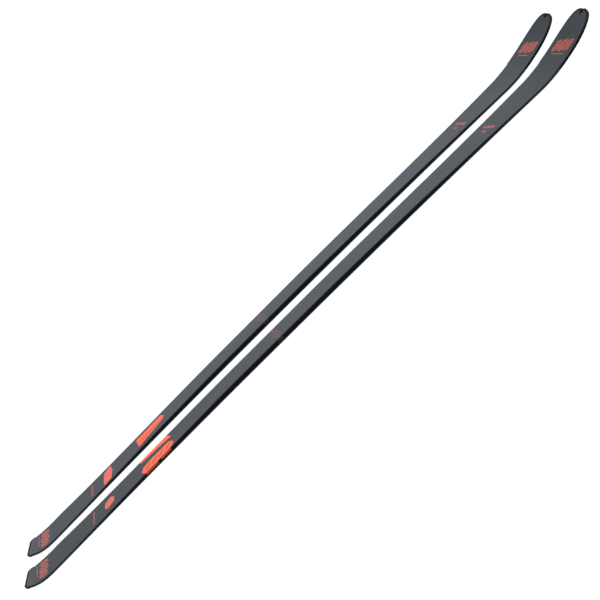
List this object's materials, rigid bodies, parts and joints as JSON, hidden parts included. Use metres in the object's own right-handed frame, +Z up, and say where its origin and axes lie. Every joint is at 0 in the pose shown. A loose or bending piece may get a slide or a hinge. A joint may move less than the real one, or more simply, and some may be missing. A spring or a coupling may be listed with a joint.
{
  "type": "cross country ski",
  "caption": "Matched cross-country touring skis with sidecut, camber, upturned rounded tips with a skin notch, squared tails, steel edges and matte dark topsheets.",
  "frame": {"origin": "under the middle of the two skis, on the surface that they lie on", "axes": "+X along the skis towards their tips, +Y towards the left ski, +Z up"},
  "size_m": [1.7909, 0.2548, 0.0468],
  "materials": {
    "topsheet": "matte, finely grained",
    "base_sheet": "stone-ground, waxed",
    "edge_steel": "ground",
    "edge_rubber": "matte",
    "glass_laminate": "resin",
    "core_wood": "planed",
    "spacer_plastic": "moulded",
    "sidewall_plastic": "planed",
    "plate_metal": "rolled",
    "guard_plastic": "moulded",
    "print_orange": "matte print"
  },
  "bodies": {
    "left_ski": {"left_base": "base_sheet", "left_steel_edge_inner": "edge_steel", "left_steel_edge_outer": "edge_steel", "left_edge_foil_inner": "edge_rubber", "left_edge_foil_outer": "edge_rubber", "left_lower_laminate": "glass_laminate", "left_tail_spacer": "spacer_plastic", "left_core_middle_stringer": "core_wood", "left_core_inner_stringer": "core_wood", "left_core_outer_stringer": "core_wood", "left_tip_spacer": "spacer_plastic", "left_sidewall_inner": "sidewall_plastic", "left_sidewall_outer": "sidewall_plastic", "left_binding_plate": "plate_metal", "left_upper_laminate": "glass_laminate", "left_topsheet": "topsheet", "left_tip_guard": "guard_plastic", "left_tail_guard": "guard_plastic"},
    "right_ski": {"right_base": "base_sheet", "right_steel_edge_inner": "edge_steel", "right_steel_edge_outer": "edge_steel", "right_edge_foil_inner": "edge_rubber", "right_edge_foil_outer": "edge_rubber", "right_lower_laminate": "glass_laminate", "right_tail_spacer": "spacer_plastic", "right_core_middle_stringer": "core_wood", "right_core_inner_stringer": "core_wood", "right_core_outer_stringer": "core_wood", "right_tip_spacer": "spacer_plastic", "right_sidewall_inner": "sidewall_plastic", "right_sidewall_outer": "sidewall_plastic", "right_binding_plate": "plate_metal", "right_upper_laminate": "glass_laminate", "right_topsheet": "topsheet", "right_tip_guard": "guard_plastic", "right_tail_guard": "guard_plastic"}
  },
  "joints": [
    {"name": "glide", "type": "slide", "parent": "left_ski", "child": "right_ski", "axis": [1, 0, 0], "range_m": [-0.6, 0.6]}
  ]
}
